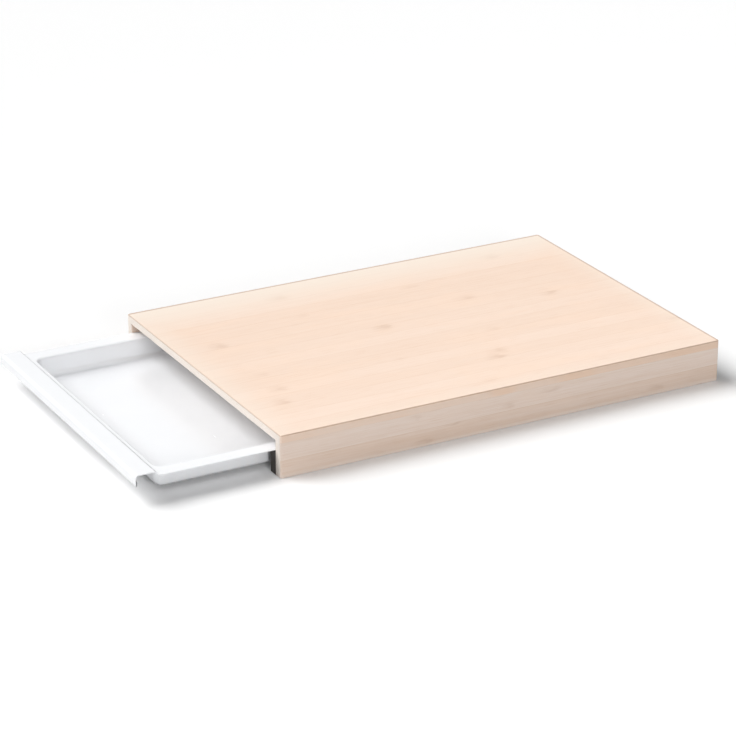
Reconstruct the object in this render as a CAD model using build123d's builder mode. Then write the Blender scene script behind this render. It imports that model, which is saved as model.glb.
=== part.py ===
"""Bamboo cutting board on two side walls, with a steel tray sliding in from each end.

Frame: X runs along the board, Y across it from the near side to the far side, +Z up.
The origin is the centre of the board's footprint, on the surface that it stands on.
The left tray is pulled out as in the photograph, and the right tray is pushed in.
"""

import os

from build123d import *

# Driving dimensions, in millimetres and degrees --------------------------------

board_length = 450.0
board_width = 320.0
board_height = 40.0
corner_radius = 2.5  # vertical corners of the board
arris_radius = 0.9  # edges eased all round, top and bottom

panel_thickness = 7.0
panel_strip_count = 16

wall_thickness = 9.0
wall_strip_count = 2  # strips glued one on the other

runner_width = 10.0
runner_height = 23.0
runner_lead_in = 1.5  # chamfer that leads a flange onto the runner
kicker_gap = 0.9  # free height over a flange
kicker_end_setback = 22.0  # room for the raised front flange of a closed tray
kicker_lead_in = 2.0

centre_bar_width = 10.0
tenon_depth = 4.0
tenon_height = 18.0

sheet = 0.8
tray_length = 221.0  # from the lip's face to the rear flange's edge
tray_side_gap = 0.6  # between a flange and the board's side wall
slide_gap = 0.3  # between a flange and its runner
front_flange_rise = 4.0
front_flange_depth = 18.3  # from the lip's face to the start of the step down
step_run = 3.5
pan_front_offset = 25.7  # from the lip's face to the pan's front wall
pan_side_offset = 15.2  # from a side flange's edge to the pan's side wall
pan_rear_offset = 9.0
pan_depth = 19.9
pan_draft = 3.0  # degrees, each wall
pan_corner_radius = 9.0
pan_floor_radius = 4.8
bend_radius = 2.0  # inside of each bend of the sheet
lip_height = 10.1
hem_height = 4.0
hem_radius = 0.7
rear_corner_radius = 8.0

tray_pull = 128.5  # how far the photograph has the left tray out
lip_stand_off = 2.0  # lip's face beyond the board's end when a tray is in

# Levels and places worked out from them -----------------------------------------

panel_underside = board_height - panel_thickness
wall_strip_height = panel_underside / wall_strip_count
panel_strip_width = board_width / panel_strip_count
wall_inner_y = board_width / 2 - wall_thickness
runner_inner_y = wall_inner_y - runner_width

flange_top = runner_height + slide_gap + sheet
kicker_underside = flange_top + kicker_gap
kicker_length = board_length - 2 * kicker_end_setback
flange_half_width = wall_inner_y - tray_side_gap
front_flange_top = flange_top + front_flange_rise
lip_bottom = front_flange_top - lip_height

lip_x = -(board_length / 2 + lip_stand_off + tray_pull)
rear_x = lip_x + tray_length
pan_front_x = lip_x + pan_front_offset
pan_rear_x = rear_x - pan_rear_offset
pan_centre_x = (pan_front_x + pan_rear_x) / 2
pan_length = pan_rear_x - pan_front_x
pan_width = 2 * (flange_half_width - pan_side_offset)

os.makedirs("parts", exist_ok=True)


def finish(piece, name):
    """Label one finished piece and write it as its own STEP file."""
    piece.part.label = name
    export_step(piece.part, f"parts/{name}.step")


# Blank: the whole board's outer form, with its corners rounded and arrises eased.
# The glued strips are cut from it, so their edges line up as on a sanded board.

with BuildPart() as blank:
    with BuildSketch():
        RectangleRounded(board_length, board_width, corner_radius)
    extrude(amount=board_height)
    fillet(blank.faces().sort_by(Axis.Z)[-1].edges(), radius=arris_radius)
    fillet(blank.faces().sort_by(Axis.Z)[0].edges(), radius=arris_radius)


def strip_of_blank(y_low, y_high, z_low, z_high):
    """One full-length strip of the blank, between two heights and two widths."""
    with BuildPart() as strip:
        add(blank.part)
        with Locations((0, (y_low + y_high) / 2, (z_low + z_high) / 2)):
            Box(board_length, y_high - y_low, z_high - z_low, mode=Mode.INTERSECT)
    return strip


# Top panel: long strips side by side, near edge first ----------------------------

for index in range(panel_strip_count):
    near_y = -board_width / 2 + index * panel_strip_width
    panel_strip = strip_of_blank(near_y, near_y + panel_strip_width, panel_underside, board_height)
    finish(panel_strip, f"top_strip_{index + 1:02d}")

# Side walls: two strips on edge under each long edge of the panel -----------------

for level, z_low in (("lower", 0.0), ("upper", wall_strip_height)):
    z_high = z_low + wall_strip_height
    near_wall_strip = strip_of_blank(-board_width / 2, -wall_inner_y, z_low, z_high)
    finish(near_wall_strip, f"near_wall_{level}")
    far_wall_strip = strip_of_blank(wall_inner_y, board_width / 2, z_low, z_high)
    finish(far_wall_strip, f"far_wall_{level}")

# Runners: the trays' side flanges slide on them, and a stopped housing in each
# takes one tenon of the centre bar

with BuildPart() as near_runner:
    with BuildSketch():
        with Locations((0, -(wall_inner_y + runner_inner_y) / 2)):
            Rectangle(board_length, runner_width)
    extrude(amount=runner_height)
    top_face = near_runner.faces().sort_by(Axis.Z)[-1]
    chamfer(top_face.edges().filter_by(Axis.Y), length=runner_lead_in)
    top_face = near_runner.faces().sort_by(Axis.Z)[-1]
    fillet(top_face.edges().filter_by(Axis.X).sort_by(Axis.Y)[-1], radius=arris_radius)
    with BuildSketch():
        with Locations((0, -runner_inner_y - tenon_depth / 2)):
            Rectangle(centre_bar_width, tenon_depth)
    extrude(amount=tenon_height, mode=Mode.SUBTRACT)
finish(near_runner, "near_runner")

with BuildPart() as far_runner:
    mirror(near_runner.part, about=Plane.XZ)
finish(far_runner, "far_runner")

# Kickers: strips over the flanges, which hold a pulled tray level. They stop short
# of the board's ends, where the raised front flange of a closed tray comes in.

with BuildPart() as near_kicker:
    with BuildSketch(Plane.XY.offset(kicker_underside)):
        with Locations((0, -(wall_inner_y + runner_inner_y) / 2)):
            Rectangle(kicker_length, runner_width)
    extrude(amount=panel_underside - kicker_underside)
    underside = near_kicker.faces().sort_by(Axis.Z)[0]
    chamfer(underside.edges().filter_by(Axis.Y), length=kicker_lead_in)
finish(near_kicker, "near_kicker")

with BuildPart() as far_kicker:
    mirror(near_kicker.part, about=Plane.XZ)
finish(far_kicker, "far_kicker")

# Centre bar: closes the inner end of both tray bays and carries the panel's middle

with BuildPart() as centre_bar:
    with BuildSketch():
        Rectangle(centre_bar_width, 2 * runner_inner_y)
    extrude(amount=panel_underside)
    with BuildSketch():
        Rectangle(centre_bar_width, 2 * (runner_inner_y + tenon_depth))
    extrude(amount=tenon_height)
finish(centre_bar, "centre_bar")

# Trays: a pan drawn from sheet, with a flange all round. The front flange steps up
# over the runners' ends, and its lip turns down outside them as a finger pull.

flange_line = flange_top - sheet / 2
front_flange_line = front_flange_top - sheet / 2

with BuildPart() as pan_inside:
    with BuildSketch(Plane.XY.offset(flange_top)):
        with Locations((pan_centre_x, 0)):
            RectangleRounded(
                pan_length - 2 * sheet, pan_width - 2 * sheet, pan_corner_radius - sheet
            )
    extrude(amount=-(pan_depth - sheet), taper=pan_draft)
    inside_floor = pan_inside.faces().sort_by(Axis.Z)[0]
    fillet(inside_floor.edges(), radius=pan_floor_radius - sheet)

with BuildPart() as left_tray:
    # flange and lip: one bent section, as wide as the tray
    with BuildSketch(Plane.XZ):
        with BuildLine():
            FilletPolyline(
                (lip_x + sheet / 2, lip_bottom),
                (lip_x + sheet / 2, front_flange_line),
                (lip_x + front_flange_depth, front_flange_line),
                (lip_x + front_flange_depth + step_run, flange_line),
                (rear_x, flange_line),
                radius=bend_radius + sheet / 2,
            )
        trace(line_width=sheet)
    extrude(amount=flange_half_width, both=True)
    rear_edge = left_tray.faces().sort_by(Axis.X)[-1]
    fillet(rear_edge.edges().filter_by(Axis.Z), radius=rear_corner_radius)
    # hem: the lip's lower edge is folded back on its inside
    with BuildSketch(Plane.XY.offset(lip_bottom)):
        with Locations((lip_x + sheet, 0)):
            Rectangle(2 * sheet, 2 * flange_half_width)
    extrude(amount=hem_height)
    hem_fold = left_tray.faces().sort_by(Axis.Z)[0]
    fillet(hem_fold.edges().filter_by(Axis.Y), radius=hem_radius)
    # pan: its drafted outside joins the flange, and then its inside is cut out
    with BuildSketch(Plane.XY.offset(flange_top)):
        with Locations((pan_centre_x, 0)):
            RectangleRounded(pan_length, pan_width, pan_corner_radius)
    extrude(amount=-pan_depth, taper=pan_draft)
    pan_floor = left_tray.faces().sort_by(Axis.Z)[0]
    fillet(pan_floor.edges(), radius=pan_floor_radius)
    add(pan_inside.part, mode=Mode.SUBTRACT)
    # the bend from wall to flange, on both sides of the sheet
    level_faces = left_tray.faces().filter_by(Axis.Z)
    under_flange = level_faces.filter_by(lambda face: abs(face.center().Z - flange_top + sheet) < 0.01)
    fillet(under_flange[0].inner_wires()[0].edges(), radius=bend_radius - sheet)
    level_faces = left_tray.faces().filter_by(Axis.Z)
    over_flange = level_faces.filter_by(lambda face: abs(face.center().Z - flange_top) < 0.01)
    fillet(over_flange[0].inner_wires()[0].edges(), radius=bend_radius)
finish(left_tray, "left_tray")

with BuildPart() as right_tray:
    with Locations((-tray_pull, 0, 0)):
        add(mirror(left_tray.part, about=Plane.YZ, mode=Mode.PRIVATE))
finish(right_tray, "right_tray")
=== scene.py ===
"""Looks, light and stage for a bamboo cutting board with a steel tray in each end.

The board lies along X, its open ends face -X and +X, and it stands on z = 0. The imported
part is the frame: the bamboo strips keep their own meshes and get their wood here, and
the two trays are remade as smooth sheet from their nodes.
"""

import math

import bmesh
import bpy
from bpy.props import FloatProperty, FloatVectorProperty, PointerProperty
from mathutils import Matrix, Vector


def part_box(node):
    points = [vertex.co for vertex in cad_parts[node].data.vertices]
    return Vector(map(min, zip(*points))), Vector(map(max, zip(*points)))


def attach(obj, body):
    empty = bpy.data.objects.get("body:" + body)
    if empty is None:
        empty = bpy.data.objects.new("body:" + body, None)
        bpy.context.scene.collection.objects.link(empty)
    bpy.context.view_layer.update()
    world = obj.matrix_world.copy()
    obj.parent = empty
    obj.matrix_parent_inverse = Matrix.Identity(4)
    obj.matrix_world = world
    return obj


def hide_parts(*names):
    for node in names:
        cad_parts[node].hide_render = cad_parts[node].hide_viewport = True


bl_info = {
    "name": "Cutting board with drawer trays",
    "version": (1, 0, 0),
    "blender": (4, 5, 0),
    "location": "3D View > Sidebar > Cutting board",
    "description": "Bamboo, satin steel, light and stage for the packed cutting board",
    "category": "Object",
}

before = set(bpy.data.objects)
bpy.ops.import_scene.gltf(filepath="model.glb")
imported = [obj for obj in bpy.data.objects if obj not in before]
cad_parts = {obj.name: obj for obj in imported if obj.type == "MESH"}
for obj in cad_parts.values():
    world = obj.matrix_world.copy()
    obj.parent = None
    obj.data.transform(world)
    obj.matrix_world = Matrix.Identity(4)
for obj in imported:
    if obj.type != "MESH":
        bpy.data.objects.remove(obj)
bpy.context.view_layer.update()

MM = 0.001
MERGE_DISTANCE = 0.002 * MM
KEY_FROM = Vector((-1.7, 1.5, 2.4))
FILL_FROM = Vector((-0.5, -2.55, 0.66))
TOP_STRIPS = sorted(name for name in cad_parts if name.startswith("top_strip_"))
WALL_STRIPS = ["near_wall_lower", "near_wall_upper", "far_wall_lower", "far_wall_upper"]
GUIDE_STRIPS = ["near_runner", "far_runner", "near_kicker", "far_kicker"]
TRAYS = ["left_tray", "right_tray"]

first_strip_low, first_strip_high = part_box(TOP_STRIPS[0])
last_strip_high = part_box(TOP_STRIPS[-1])[1]
HALF_LENGTH = last_strip_high.x / MM
HALF_WIDTH = last_strip_high.y / MM
BOARD_TOP = last_strip_high.z / MM
TOP_STRIP_WIDTH = (first_strip_high.y - first_strip_low.y) / MM
INNER_FACE = first_strip_low.z / MM
WALL_STRIP_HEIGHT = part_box("near_wall_lower")[1].z / MM
ONE_STRIP = 60.0  # taller than the guides and the centre bar, which are one strip each

# How fine each figure of the bamboo is, along and across the fibres, per millimetre.
FIBRE_GRAIN = (0.012, 1.3)
BAND_GRAIN = (0.007, 0.26)
PATCH_GRAIN = (0.011, 0.028)
BUNDLE_GRAIN = (0.045, 2.6)
WAVER_GRAIN = (0.07, 0.25)
CUT_BUNDLE_GRAIN = 1.15
STRIP_SHIFT = 60.0  # how far each strip's figure is moved from its neighbour's

# How the wood's colour is scaled where it is palest, deepest and warmest.
PALE = (1.02, 1.03, 1.04)
DEEP = (0.045, 0.085, 0.125)
WARM = (1.01, 0.975, 0.935)
CUT_BUNDLE = (0.82, 0.76, 0.70)

SEAM_FROM, SEAM_TO = 0.3, 0.08  # a glue seam fades in between these distances from a joint
FOOT_TOP, FOOT_FULL = 5.0, 0.5  # the walls' foot, painted pale as floor bounce light, fades in between these heights
PORE_DEPTH = 0.06 * MM

# The steel's brush lines run across the tray, and its handling marks lie any way.
BRUSH_GRAIN = (0.9, 0.012, 0.9)
CLOUD_GRAIN = (0.02, 0.02, 0.02)
BRUSH_ROUGHNESS = 0.03
CLOUD_ROUGHNESS = 0.10
CLOUD_SHADE = 0.985

# The photograph's viewpoint: azimuth, elevation and roll in degrees, place in metres,
# and the lens on a 36 mm sensor.
CAMERA_TURN = (28.1232, 22.8056, -0.1914)
CAMERA_PLACE = Vector((-1.233478, -2.205762, 1.061240))
CAMERA_LENS = 143.836
CAMERA_SENSOR = 36.0

# Node marks, where a culm's joint crosses a strip: place, half length, half width in
# millimetres, and how dark. On the panel the place is (x, y), on a wall (x, z).
PANEL_MARKS = [
    (149, 128, 14.9, 10.1, 0.75),
    (-84, 129, 16.1, 9.3, 0.85),
    (73, 42, 13.8, 9.3, 0.75),
    (150, 19, 12.6, 10.8, 1),
    (-30, 16, 13.8, 10.1, 1),
    (-185, 46, 11.5, 11.5, 0.8),
    (34, -83, 12.6, 10.1, 0.75),
    (25, -97, 11.5, 11.5, 1),
    (-180, -68, 12.6, 10.1, 0.8),
    (-191, -98, 10.3, 11.5, 1),
    (219, -94, 10.3, 9.3, 0.7),
    (56, -37, 10.3, 7.75, 0.35),
    (-9, -141, 13.8, 7.75, 0.45),
    (40, 94, 11.5, 6.2, 0.35),
    (-85, 77, 10.3, 6.2, 0.4),
    (-180, -32, 10.3, 7.75, 0.4),
    (-55, -60, 9.2, 7.75, 0.35),
]
NEAR_WALL_MARKS = [
    (157, 7.3, 11, 4.5, 0.9),
    (-83, 4.2, 12, 4.5, 1.0),
    (1, 21.9, 9, 5.0, 0.75),
    (-94, 29.4, 8, 3.5, 0.4),
    (-57, 15.8, 14, 1.6, 0.8),
    (46, 27.5, 16, 2.2, 0.9),
    (-128, 3.5, 8, 2.5, 0.4),
]

# The panel's four edges: axis, half size, sign of the inset, how far the arris's painted shade
# reaches in, how far the margin's painted light reaches in and how strong it is at the edge.
PANEL_EDGES = [
    ("y", HALF_WIDTH, -1, 4.0, 70.0, 0.95),
    ("y", HALF_WIDTH, 1, 1.2, 26.0, 0.35),
    ("x", HALF_LENGTH, -1, 3.0, 28.0, 0.45),
    ("x", HALF_LENGTH, 1, 1.0, 34.0, 0.5),
]


class Recipe:
    """One material's node tree, built a node at a time. Places are in millimetres."""

    def __init__(self, name, tree=None):
        if tree is None:
            self.material = bpy.data.materials.new(name)
            self.material.use_nodes = True
            tree = self.material.node_tree
            self.shader = tree.nodes["Principled BSDF"]
        self.tree = tree

    def node(self, kind, inputs=None, **settings):
        made = self.tree.nodes.new("ShaderNode" + kind)
        for key, value in settings.items():
            setattr(made, key, value)
        for socket, value in (inputs or {}).items():
            self.feed(made.inputs[socket], value)
        return made

    def feed(self, socket, value):
        if isinstance(value, bpy.types.NodeSocket):
            self.tree.links.new(value, socket)
        else:
            socket.default_value = value

    def place(self):
        """The point on the object, in millimetres."""
        point = self.node("TexCoord").outputs["Object"]
        return self.vector("SCALE", point, scale=1 / MM)

    def vector(self, operation, a, b=None, scale=None):
        inputs = {0: a}
        if b is not None:
            inputs[1] = b
        if scale is not None:
            inputs["Scale"] = scale
        made = self.node("VectorMath", inputs, operation=operation)
        return made.outputs["Value" if operation in ("LENGTH", "DOT_PRODUCT") else "Vector"]

    def math(self, operation, a, b=0.0, c=0.0, clamp=False):
        made = self.node("Math", {0: a, 1: b, 2: c}, operation=operation, use_clamp=clamp)
        return made.outputs[0]

    def axes(self, point):
        made = self.node("SeparateXYZ", {0: point})
        return made.outputs[0], made.outputs[1], made.outputs[2]

    def ramp(self, value, low, high, to_low=0.0, to_high=1.0):
        """A smooth step of value between low and high."""
        inputs = {"Value": value, "From Min": low, "From Max": high, "To Min": to_low, "To Max": to_high}
        return self.node("MapRange", inputs, interpolation_type="SMOOTHSTEP").outputs["Result"]

    def noise(self, point, scale, detail=2.0, roughness=0.5, distortion=0.0):
        inputs = {"Vector": point, "Scale": scale, "Detail": detail, "Roughness": roughness, "Distortion": distortion}
        return self.node("TexNoise", inputs)

    def stretched(self, point, grain, shift=None):
        """point with its x stretched out, so that a noise on it runs as fibres do."""
        along, across = grain
        made = self.vector("MULTIPLY", point, (along, across, across))
        return self.vector("ADD", made, shift) if shift is not None else made

    def blend(self, factor, a, b, mode="MIX"):
        made = self.node("Mix", data_type="RGBA", blend_type=mode)
        self.feed(made.inputs["Factor"], factor)
        self.feed(made.inputs["A"], a)
        self.feed(made.inputs["B"], b)
        return made.outputs["Result"]


def colour(values):
    """Red, green and blue with an alpha of 1."""
    return (*values[:3], 1.0)


def node_mark_group():
    """A node mark: a soft smear along the fibres with a darker core where the joint crosses."""
    group = bpy.data.node_groups.new("Bamboo node mark", "ShaderNodeTree")
    socket = group.interface.new_socket
    for name in ("Point", "Centre", "Reach"):
        socket(name, in_out="INPUT", socket_type="NodeSocketVector")
    for name in ("Depth", "Before"):
        socket(name, in_out="INPUT", socket_type="NodeSocketFloat")
    socket("Mask", in_out="OUTPUT", socket_type="NodeSocketFloat")
    recipe = Recipe("", group)
    entry = group.nodes.new("NodeGroupInput").outputs
    exit_node = group.nodes.new("NodeGroupOutput")
    offset = recipe.vector("SUBTRACT", entry["Point"], entry["Centre"])
    offset = recipe.vector("MULTIPLY", offset, entry["Reach"])
    smear = recipe.ramp(recipe.vector("LENGTH", offset), 1.25, 0.0)
    core_offset = recipe.vector("SUBTRACT", offset, (0.3, -0.1, -0.1))
    core_offset = recipe.vector("MULTIPLY", core_offset, (1.9, 1.35, 1.35))
    core = recipe.ramp(recipe.vector("LENGTH", core_offset), 1.1, 0.1)
    both = recipe.math("MULTIPLY_ADD", smear, 0.55, recipe.math("MULTIPLY", core, 0.5))
    deep = recipe.math("MULTIPLY", both, entry["Depth"])
    recipe.feed(exit_node.inputs["Mask"], recipe.math("MAXIMUM", deep, entry["Before"]))
    return group


class Bamboo:
    """Bamboo in glued strips: fibres along x, a tone for each strip, marks and end grain."""

    def __init__(self, name, wood, settings, strip_axis, strip_width, figure=1.0):
        self.recipe = recipe = Recipe(name)
        self.wood = wood
        self.settings = settings
        self.strip_width = strip_width
        self.figure = figure
        self.point = recipe.place()
        self.x, self.y, self.z = recipe.axes(self.point)
        self.across = {"y": recipe.math("ADD", self.y, HALF_WIDTH), "z": self.z}[strip_axis]
        self.lay_strips()

    def lay_strips(self):
        """Fibres, bands, dark bundles, a tone for each strip and the thin seams between them."""
        recipe, settings, point = self.recipe, self.settings, self.point
        turns = recipe.math("DIVIDE", self.across, self.strip_width)
        self.strip = recipe.math("FLOOR", turns)
        side = recipe.math("SIGN", self.y)
        number = recipe.node("CombineXYZ", {0: self.strip, 1: side, 2: 3.7}).outputs[0]
        own = recipe.node("TexWhiteNoise", {"Vector": number})
        shift = recipe.vector("SCALE", own.outputs["Color"], scale=STRIP_SHIFT)
        self.fine = recipe.noise(recipe.stretched(point, FIBRE_GRAIN, shift), 1.0, 4.0, 0.6).outputs[0]
        self.band = recipe.noise(recipe.stretched(point, BAND_GRAIN, shift), 1.0, 3.0, 0.55, 0.4).outputs[0]
        self.patch = recipe.noise(recipe.stretched(point, PATCH_GRAIN), 1.0, 2.0, 0.5, 0.6).outputs[0]
        bundle = recipe.noise(recipe.stretched(point, BUNDLE_GRAIN, shift), 1.0, 1.0, 0.4).outputs[0]
        self.bundle = recipe.ramp(bundle, 0.56, 0.72)

        depth = 0.0
        for part, share in (
            (self.fine, settings.fibre_strength),
            (self.band, settings.band_strength),
            (own.outputs["Value"], settings.strip_strength),
        ):
            depth = recipe.math("MULTIPLY_ADD", recipe.math("SUBTRACT", part, 0.5), share, depth)
        pale_share = recipe.math("MULTIPLY_ADD", depth, self.figure, 0.5, clamp=True)
        pale = [min(1.0, c * f) for c, f in zip(self.wood, PALE)]
        deep = [c * (1 - self.figure * f) for c, f in zip(self.wood, DEEP)]
        warm = [c * f for c, f in zip(self.wood, WARM)]
        self.tint = recipe.blend(pale_share, colour(deep), colour(pale))
        self.lay(recipe.ramp(self.patch, 0.42, 0.72, 0.0, 0.6), warm)
        self.deepen(recipe.math("MULTIPLY", self.bundle, settings.bundle_strength), settings.bundle_colour)
        from_seam = recipe.math("MULTIPLY", recipe.math("PINGPONG", turns, 0.5), self.strip_width)
        seam = recipe.ramp(from_seam, SEAM_FROM, SEAM_TO, 0.0, settings.seam_strength)
        self.deepen(seam, settings.bundle_colour)

    def lay(self, share, over):
        """Lay a colour over the wood."""
        self.tint = self.recipe.blend(share, self.tint, colour(over))

    def deepen(self, share, by):
        """Multiply the wood by a colour."""
        deeper = self.recipe.blend(1.0, self.tint, colour(by), "MULTIPLY")
        self.tint = self.recipe.blend(share, self.tint, deeper)

    def mark(self, marks, on_panel):
        """Node marks, each kept to its own strip, with a waver so that no two are alike."""
        recipe, settings = self.recipe, self.settings
        group = bpy.data.node_groups.get("Bamboo node mark") or node_mark_group()
        cloud = recipe.noise(recipe.stretched(self.point, WAVER_GRAIN), 1.0, 3.0).outputs["Color"]
        waver = recipe.vector("SUBTRACT", cloud, (0.5, 0.5, 0.5))
        wavering = recipe.vector("MULTIPLY_ADD", waver, (16.0, 9.0, 9.0))
        recipe.feed(wavering.node.inputs[2], self.point)
        mask = 0.0
        for along, over, half_length, half_width, strength in marks:
            if on_panel:
                centre, reach = (along, over, 0.0), (1 / half_length, 1 / half_width, 0.0)
                number = math.floor((over + HALF_WIDTH) / self.strip_width)
            else:
                centre, reach = (along, -HALF_WIDTH, over), (1 / half_length, 0.2, 1 / half_width)
                number = math.floor(over / self.strip_width)
            own_strip = recipe.math("COMPARE", self.strip, number, 0.5)
            depth = recipe.math("MULTIPLY", recipe.math("MULTIPLY_ADD", own_strip, 0.7, 0.3), strength)
            made = recipe.tree.nodes.new("ShaderNodeGroup")
            made.node_tree = group
            given = {"Point": wavering, "Centre": centre, "Reach": reach, "Depth": depth, "Before": mask}
            for key, value in given.items():
                recipe.feed(made.inputs[key], value)
            mask = made.outputs["Mask"]
        streak = recipe.ramp(self.fine, 0.3, 0.62, 0.75, 1.1)
        mask = recipe.math("MULTIPLY", recipe.math("MULTIPLY", mask, streak), settings.mark_strength, clamp=True)
        self.deepen(mask, settings.mark_colour)

    def cut_ends(self, end_wood):
        """End grain: its own colour, with the cut ends of the fibre bundles as small dots."""
        recipe = self.recipe
        self.end = recipe.ramp(recipe.math("ABSOLUTE", self.x), HALF_LENGTH - 0.5, HALF_LENGTH - 0.15)
        cut = recipe.node("CombineXYZ", {1: self.y, 2: self.z}).outputs[0]
        bundles = recipe.node("TexVoronoi", {"Vector": cut, "Scale": CUT_BUNDLE_GRAIN, "Randomness": 0.9})
        dots = recipe.ramp(bundles.outputs["Distance"], 0.14, 0.36)
        dot_colour = [c * f for c, f in zip(end_wood, CUT_BUNDLE)]
        face = recipe.blend(dots, colour(dot_colour), colour(end_wood))
        self.tint = recipe.blend(self.end, self.tint, face)

    def ease_panel(self):
        """The panel's margins, made paler as painted light, its arris, darkened as painted shade, its long sides, and
        its inner face, paler as unoiled wood and as painted light.
        """
        recipe, settings, z = self.recipe, self.settings, self.z
        glow, inward = 0.0, 1e3
        for axis, half, sign, arris_shade_reach, margin, most in PANEL_EDGES:
            inset = recipe.math("MULTIPLY_ADD", {"x": self.x, "y": self.y}[axis], sign, half)
            inward = recipe.math("MINIMUM", recipe.math("DIVIDE", inset, arris_shade_reach), inward)
            glow = recipe.math("MAXIMUM", recipe.ramp(inset, margin, -6.0, 0.0, most), glow)
        # The arris is darkened as painted shade along the panel's rounded edges.
        shaded = recipe.math("MAXIMUM", inward, recipe.math("SUBTRACT", BOARD_TOP, z))
        arris = recipe.ramp(shaded, 1.0, 0.55, 0.0, settings.arris_shade_strength)
        flat = recipe.ramp(z, BOARD_TOP - 1.2, BOARD_TOP - 0.4)
        flat = recipe.math("MULTIPLY", flat, recipe.math("SUBTRACT", 1.0, arris))
        # The margins are made paler as painted light, brighter towards the panel's edges.
        self.lay(recipe.math("MULTIPLY", glow, flat), settings.margin_light_colour)
        self.deepen(arris, settings.arris_shade_colour)
        long_side = recipe.ramp(z, BOARD_TOP - 0.9, BOARD_TOP - 1.3)
        long_side = recipe.math("MULTIPLY", long_side, recipe.math("SUBTRACT", 1.0, self.end))
        mottle = recipe.ramp(self.patch, 0.35, 0.6, 0.0, 0.6)
        self.lay(recipe.math("MULTIPLY", long_side, mottle), settings.wall_colour)
        # The inner face is paler, partly as unoiled wood and partly as painted light that lifts the shade under the
        # panel and its reflection in the trays.
        underside = recipe.ramp(z, INNER_FACE + 0.06, INNER_FACE + 0.02, 0.0, 0.75)
        self.lay(underside, settings.inner_colour)

    def paint_foot_bounce(self):
        """The walls' lowest few millimetres, painted pale as light bounced up from the floor."""
        self.lay(self.recipe.ramp(self.z, FOOT_TOP, FOOT_FULL, 0.0, 0.8), self.settings.foot_bounce_colour)

    def finish(self):
        """Feed the shader: the tint, a satin oiled roughness and the pores as a fine bump."""
        recipe, settings = self.recipe, self.settings
        inputs = recipe.shader.inputs
        recipe.feed(inputs["Base Color"], self.tint)
        rough = recipe.ramp(self.fine, 0.25, 0.75, settings.roughness + 0.06, settings.roughness - 0.05)
        recipe.feed(inputs["Roughness"], rough)
        recipe.feed(inputs["Specular IOR Level"], 0.35)
        pores = recipe.math("MULTIPLY_ADD", self.band, 0.4, self.fine)
        pores = recipe.math("MULTIPLY_ADD", self.bundle, -0.4, pores)
        bump = recipe.node("Bump", {"Height": pores, "Strength": 0.25, "Distance": PORE_DEPTH})
        recipe.feed(inputs["Normal"], bump.outputs[0])
        return recipe.material


def satin_steel(settings):
    """Satin stainless sheet, brushed across the tray, with faint handling marks."""
    recipe = Recipe("Satin stainless steel")
    point = recipe.place()
    brush = recipe.noise(recipe.vector("MULTIPLY", point, BRUSH_GRAIN), 1.0, 2.0, 0.6).outputs[0]
    cloud = recipe.noise(recipe.vector("MULTIPLY", point, CLOUD_GRAIN), 1.0, 3.0, 0.55).outputs[0]
    rough = recipe.math("MULTIPLY_ADD", recipe.math("SUBTRACT", brush, 0.5), BRUSH_ROUGHNESS, settings.roughness)
    rough = recipe.math("MULTIPLY_ADD", recipe.math("SUBTRACT", cloud, 0.5), CLOUD_ROUGHNESS, rough)
    shade = recipe.ramp(cloud, 0.3, 0.7)
    dim = [c * CLOUD_SHADE for c in settings.steel_colour]
    inputs = recipe.shader.inputs
    recipe.feed(inputs["Base Color"], recipe.blend(shade, colour(dim), colour(settings.steel_colour)))
    recipe.feed(inputs["Metallic"], settings.metal_share)
    recipe.feed(inputs["Roughness"], rough)
    return recipe.material


def clothe(names, material):
    """Give every named piece of the frame one material."""
    for name in names:
        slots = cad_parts[name].data.materials
        slots.clear()
        slots.append(material)


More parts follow.
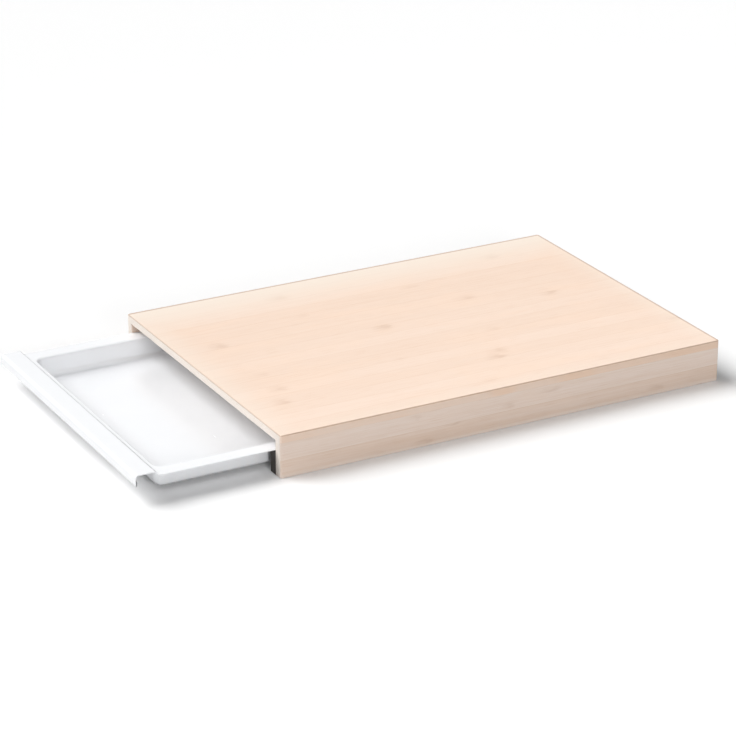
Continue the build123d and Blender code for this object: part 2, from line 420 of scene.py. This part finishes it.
class BambooSettings(bpy.types.PropertyGroup):
    top_colour: FloatVectorProperty(
        name="Panel colour",
        description="Bamboo of the top panel",
        subtype="COLOR", size=3, min=0, max=1, default=(0.925, 0.745, 0.625),
    )
    wall_colour: FloatVectorProperty(
        name="Wall colour",
        description="Bamboo of the side walls",
        subtype="COLOR", size=3, min=0, max=1, default=(0.825, 0.69, 0.605),
    )
    # The guides' near-black colour is painted shade: it stands in for the deep shadow under the trays' flanges.
    guide_shade_colour: FloatVectorProperty(
        name="Guide colour",
        description="Runners and kickers coloured near black as painted shade",
        subtype="COLOR", size=3, min=0, max=1, default=(0.045, 0.037, 0.032),
    )
    end_colour: FloatVectorProperty(
        name="End grain colour",
        description="Sanded ends of the strips",
        subtype="COLOR", size=3, min=0, max=1, default=(0.84, 0.76, 0.69),
    )
    # The inner face colour is partly unoiled wood and partly painted light that lifts the shade under the panel.
    inner_colour: FloatVectorProperty(
        name="Inner face colour",
        description="Underside of the panel, unoiled and made paler as painted light",
        subtype="COLOR", size=3, min=0, max=1, default=(0.92, 0.89, 0.86),
    )
    # The margin colour is painted light: the panel's top is made paler towards its edges.
    margin_light_colour: FloatVectorProperty(
        name="Margin light colour",
        description="Painted light on the panel's margins, paler than its middle",
        subtype="COLOR", size=3, min=0, max=1, default=(0.925, 0.82, 0.715),
    )
    # The foot colour is painted bounce light from the floor on the walls' lowest millimetres.
    foot_bounce_colour: FloatVectorProperty(
        name="Foot colour",
        description="Lowest few millimetres of the walls, painted pale as floor bounce light",
        subtype="COLOR", size=3, min=0, max=1, default=(0.86, 0.74, 0.66),
    )
    mark_colour: FloatVectorProperty(
        name="Node mark tint",
        description="What a node mark multiplies the wood by",
        subtype="COLOR", size=3, min=0, max=1, default=(0.74, 0.64, 0.56),
    )
    # The arris tint is painted shade along the panel's rounded edges.
    arris_shade_colour: FloatVectorProperty(
        name="Arris tint",
        description="What the handled arris multiplies the wood by",
        subtype="COLOR", size=3, min=0, max=1, default=(0.60, 0.54, 0.50),
    )
    bundle_colour: FloatVectorProperty(
        name="Bundle tint",
        description="What a dark fibre bundle or a glue seam multiplies the wood by",
        subtype="COLOR", size=3, min=0, max=1, default=(0.86, 0.76, 0.66),
    )
    bundle_strength: FloatProperty(
        name="Bundles",
        description="How strongly dark fibre bundles show",
        subtype="FACTOR", min=0, max=1, default=0.4,
    )
    seam_strength: FloatProperty(
        name="Seams",
        description="How strongly the glue seams show",
        subtype="FACTOR", min=0, max=1, default=0.55,
    )
    fibre_strength: FloatProperty(
        name="Fibres",
        description="How strongly single fibres show",
        subtype="FACTOR", min=0, max=2, default=0.55,
    )
    band_strength: FloatProperty(
        name="Bands",
        description="How strongly bands of fibres show",
        subtype="FACTOR", min=0, max=2, default=0.6,
    )
    strip_strength: FloatProperty(
        name="Strips",
        description="How much the strips differ",
        subtype="FACTOR", min=0, max=2, default=0.45,
    )
    mark_strength: FloatProperty(
        name="Node marks",
        description="How strongly node marks show",
        subtype="FACTOR", min=0, max=1, default=0.5,
    )
    # This sets how dark the arris's painted shade is.
    arris_shade_strength: FloatProperty(
        name="Arris",
        description="How dark the handled arris is",
        subtype="FACTOR", min=0, max=1, default=0.8,
    )
    roughness: FloatProperty(
        name="Roughness",
        description="Oiled, sanded surface",
        subtype="FACTOR", min=0.05, max=1, default=0.55,
    )


class TraySettings(bpy.types.PropertyGroup):
    steel_colour: FloatVectorProperty(
        name="Steel colour",
        description="Reflection colour of the sheet",
        subtype="COLOR", size=3, min=0, max=1, default=(0.92, 0.93, 0.95),
    )
    roughness: FloatProperty(
        name="Roughness",
        description="Satin finish of the sheet",
        subtype="FACTOR", min=0.05, max=1, default=0.25,
    )
    metal_share: FloatProperty(
        name="Mirror share",
        description="How much of the sheet's light is mirrored and not scattered",
        subtype="FACTOR", min=0, max=1, default=0.2,
    )
    sharp_angle: FloatProperty(
        name="Sharp from",
        description="Edges steeper than this stay crisp",
        subtype="ANGLE", unit="ROTATION", min=0, max=math.pi, default=math.radians(40),
    )


class StageSettings(bpy.types.PropertyGroup):
    floor_colour: FloatVectorProperty(
        name="Floor colour",
        description="Pale floor under the board",
        subtype="COLOR", size=3, min=0, max=1, default=(0.97, 0.97, 0.97),
    )
    floor_bounce: FloatProperty(
        name="Floor bounce",
        description="Share of the floor's colour that lights the board from below",
        subtype="FACTOR", min=0, max=1, default=0.55,
    )
    floor_glow: FloatProperty(
        name="Floor lift",
        description="Added to the floor for camera and mirror rays only",
        min=0, max=1, default=0.03,
    )
    floor_size: FloatProperty(
        name="Floor size",
        description="Side of the square floor",
        subtype="DISTANCE", unit="LENGTH", min=1, max=60, default=30.0,
    )
    ambient: FloatProperty(
        name="Ambient",
        description="Level of the soft light from all round",
        min=0, max=2, default=0.16,
    )
    key_level: FloatProperty(
        name="Key level",
        description="Light of the key on a face turned to it",
        min=0, max=4, default=1.03,
    )
    key_spread: FloatProperty(
        name="Key spread",
        description="How wide the key looks from the board",
        subtype="ANGLE", unit="ROTATION", min=0.01, max=math.pi, default=math.radians(46),
    )
    fill_power: FloatProperty(
        name="Fill power",
        description="Low soft box in front of the near wall",
        subtype="POWER", unit="POWER", min=0, max=500, default=30.0,
    )
    side_light: FloatProperty(
        name="Side light",
        description="Level of the soft light from the open left end, down to the horizon",
        min=0, max=2, default=0.25,
    )
    fill_size: FloatProperty(
        name="Fill size",
        description="Side of the fill's box",
        subtype="DISTANCE", unit="LENGTH", min=0.05, max=5, default=0.8,
    )


class BOARD_OT_top_panel(bpy.types.Operator):
    """Finish the strips of the top panel in pale flat-pressed bamboo"""

    bl_idname = "cutting_board.top_panel"
    bl_label = "Top panel"

    def execute(self, context):
        settings = context.scene.board_bamboo
        wood = Bamboo("Bamboo top panel", settings.top_colour, settings, "y", TOP_STRIP_WIDTH)
        wood.mark(PANEL_MARKS, on_panel=True)
        wood.cut_ends(settings.end_colour)
        wood.ease_panel()
        clothe(TOP_STRIPS, wood.finish())
        return {"FINISHED"}


class BOARD_OT_side_walls(bpy.types.Operator):
    """Finish the strips of both side walls in bamboo laid on edge"""

    bl_idname = "cutting_board.side_walls"
    bl_label = "Side walls"

    def execute(self, context):
        settings = context.scene.board_bamboo
        wood = Bamboo("Bamboo side wall", settings.wall_colour, settings, "z", WALL_STRIP_HEIGHT, figure=1.9)
        wood.mark(NEAR_WALL_MARKS, on_panel=False)
        wood.cut_ends(settings.end_colour)
        wood.paint_foot_bounce()
        clothe(WALL_STRIPS, wood.finish())
        return {"FINISHED"}


class BOARD_OT_inner_frame(bpy.types.Operator):
    """Colour the runners and kickers near black as painted shade under the trays' flanges, and leave the centre bar
    as the walls are
    """

    bl_idname = "cutting_board.inner_frame"
    bl_label = "Inner frame"

    def execute(self, context):
        settings = context.scene.board_bamboo
        # The runners and kickers are coloured near black as painted shade, for the deep shadow under the trays'
        # flanges.
        for names, label, wood_colour, end_wood in (
            (GUIDE_STRIPS, "Bamboo guides in painted shade", settings.guide_shade_colour, settings.guide_shade_colour),
            (["centre_bar"], "Bamboo centre bar", settings.wall_colour, settings.end_colour),
        ):
            wood = Bamboo(label, wood_colour, settings, "z", ONE_STRIP)
            wood.cut_ends(end_wood)
            clothe(names, wood.finish())
        return {"FINISHED"}


class BOARD_OT_trays(bpy.types.Operator):
    """Remake both trays as smooth satin steel sheet that rides on its own body"""

    bl_idname = "cutting_board.trays"
    bl_label = "Trays"

    def execute(self, context):
        settings = context.scene.board_trays
        steel = satin_steel(settings)
        for name in TRAYS:
            sheet = bmesh.new()
            sheet.from_mesh(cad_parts[name].data)
            bmesh.ops.remove_doubles(sheet, verts=sheet.verts, dist=MERGE_DISTANCE)
            for face in sheet.faces:
                face.smooth = True
            mesh = bpy.data.meshes.new(name + "_sheet")
            sheet.to_mesh(mesh)
            sheet.free()
            mesh.set_sharp_from_angle(angle=settings.sharp_angle)
            mesh.materials.append(steel)
            tray = bpy.data.objects.new(name + "_sheet", mesh)
            context.scene.collection.objects.link(tray)
            normals = tray.modifiers.new("Even shading", "WEIGHTED_NORMAL")
            normals.keep_sharp = True
            normals.weight = 80
            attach(tray, name)
            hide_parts(name)
        return {"FINISHED"}


class BOARD_OT_stage(bpy.types.Operator):
    """Lay the pale floor and set the light and the camera"""

    bl_idname = "cutting_board.stage"
    bl_label = "Stage"

    def execute(self, context):
        scene = context.scene
        settings = scene.board_stage
        scene.view_settings.view_transform = "Standard"
        lay_floor(scene, settings)
        light_world(scene, settings)
        hang_key(scene, settings)
        hang_fill(scene, settings)
        set_camera(scene)
        return {"FINISHED"}


def seen_directly(recipe):
    """1 for camera, glossy and transmission rays, and 0 for the light that falls on things."""
    path = recipe.node("LightPath").outputs
    seen = recipe.math("MAXIMUM", path["Is Camera Ray"], path["Is Glossy Ray"])
    return recipe.math("MAXIMUM", seen, path["Is Transmission Ray"])


def lay_floor(scene, settings):
    """A white floor that keeps the object's shadow and looks brighter than it shines back."""
    paper = bmesh.new()
    bmesh.ops.create_grid(paper, x_segments=1, y_segments=1, size=settings.floor_size / 2)
    mesh = bpy.data.meshes.new("Floor")
    paper.to_mesh(mesh)
    paper.free()
    recipe = Recipe("White paper floor")
    seen = seen_directly(recipe)
    bounce = [c * settings.floor_bounce for c in settings.floor_colour]
    inputs = recipe.shader.inputs
    recipe.feed(inputs["Base Color"], recipe.blend(seen, colour(bounce), colour(settings.floor_colour)))
    recipe.feed(inputs["Roughness"], 0.9)
    recipe.feed(inputs["Specular IOR Level"], 0.0)
    recipe.feed(inputs["Emission Color"], (1, 1, 1, 1))
    recipe.feed(inputs["Emission Strength"], recipe.math("MULTIPLY", seen, settings.floor_glow))
    mesh.materials.append(recipe.material)
    floor = bpy.data.objects.new("Floor", mesh)
    scene.collection.objects.link(floor)


def light_world(scene, settings):
    """A white background, and a soft light from above and from the board's open left end."""
    world = bpy.data.worlds.new("Studio")
    world.use_nodes = True
    scene.world = world
    recipe = Recipe("", world.node_tree)
    light = world.node_tree.nodes["Background"]
    light.inputs["Color"].default_value = (1, 1, 1, 1)
    east, _, up = recipe.axes(recipe.node("TexCoord").outputs["Generated"])
    dome = recipe.math("MULTIPLY", recipe.math("MAXIMUM", up, 0.0), 1.5 * settings.ambient)
    dome = recipe.math("MULTIPLY_ADD", recipe.math("MINIMUM", east, 0.0), -settings.side_light, dome)
    recipe.feed(light.inputs["Strength"], recipe.math("MAXIMUM", seen_directly(recipe), dome))


def hang_key(scene, settings):
    """A broad light behind and above the board, leaning from its open left end."""
    light = bpy.data.lights.new("Key", "SUN")
    light.energy = settings.key_level * math.pi
    light.angle = settings.key_spread
    hang(scene, light, KEY_FROM)


def hang_fill(scene, settings):
    """A low soft box in front, which lights the near wall more than the floor."""
    light = bpy.data.lights.new("Fill", "AREA")
    light.shape = "SQUARE"
    light.size = settings.fill_size
    light.energy = settings.fill_power
    hang(scene, light, FILL_FROM)


def hang(scene, light, place):
    """Hang a lamp at a place, turned to the origin and unseen in mirrors."""
    lamp = bpy.data.objects.new(light.name, light)
    lamp.location = place
    lamp.rotation_euler = (-place).to_track_quat("-Z", "Y").to_euler()
    lamp.visible_glossy = False
    scene.collection.objects.link(lamp)


def set_camera(scene):
    """Stand the camera at the photograph's viewpoint."""
    azimuth, elevation, roll = (math.radians(angle) for angle in CAMERA_TURN)
    level = math.cos(elevation)
    forward = Vector((math.sin(azimuth) * level, math.cos(azimuth) * level, -math.sin(elevation)))
    level_right = forward.cross(Vector((0, 0, 1))).normalized()
    level_up = level_right.cross(forward)
    right = math.cos(roll) * level_right + math.sin(roll) * level_up
    up = -math.sin(roll) * level_right + math.cos(roll) * level_up
    data = bpy.data.cameras.new("Camera")
    data.sensor_width = CAMERA_SENSOR
    data.lens = CAMERA_LENS
    data.clip_start, data.clip_end = 0.05, 100.0
    camera = bpy.data.objects.new("Camera", data)
    turn = Matrix((right, up, -forward)).transposed().to_4x4()
    camera.matrix_world = Matrix.Translation(CAMERA_PLACE) @ turn
    scene.collection.objects.link(camera)
    scene.camera = camera


PIECES = (BOARD_OT_top_panel, BOARD_OT_side_walls, BOARD_OT_inner_frame, BOARD_OT_trays, BOARD_OT_stage)
SETTINGS = {"board_bamboo": BambooSettings, "board_trays": TraySettings, "board_stage": StageSettings}


class BOARD_PT_sidebar(bpy.types.Panel):
    """The board's sizes, colours and steps, in the 3D view's sidebar"""

    bl_idname = "BOARD_PT_sidebar"
    bl_label = "Cutting board"
    bl_space_type = "VIEW_3D"
    bl_region_type = "UI"
    bl_category = "Cutting board"

    def draw(self, context):
        for key, group in SETTINGS.items():
            box = self.layout.box()
            for name in group.__annotations__:
                box.prop(getattr(context.scene, key), name)
        for piece in PIECES:
            self.layout.operator(piece.bl_idname)


CLASSES = (*SETTINGS.values(), *PIECES, BOARD_PT_sidebar)


def register():
    for each in CLASSES:
        bpy.utils.register_class(each)
    for key, group in SETTINGS.items():
        setattr(bpy.types.Scene, key, PointerProperty(type=group))


def unregister():
    for key in SETTINGS:
        delattr(bpy.types.Scene, key)
    for each in reversed(CLASSES):
        bpy.utils.unregister_class(each)


def main():
    register()
    bpy.ops.cutting_board.top_panel()
    bpy.ops.cutting_board.side_walls()
    bpy.ops.cutting_board.inner_frame()
    bpy.ops.cutting_board.trays()
    bpy.ops.cutting_board.stage()


if __name__ == "__main__":
    main()
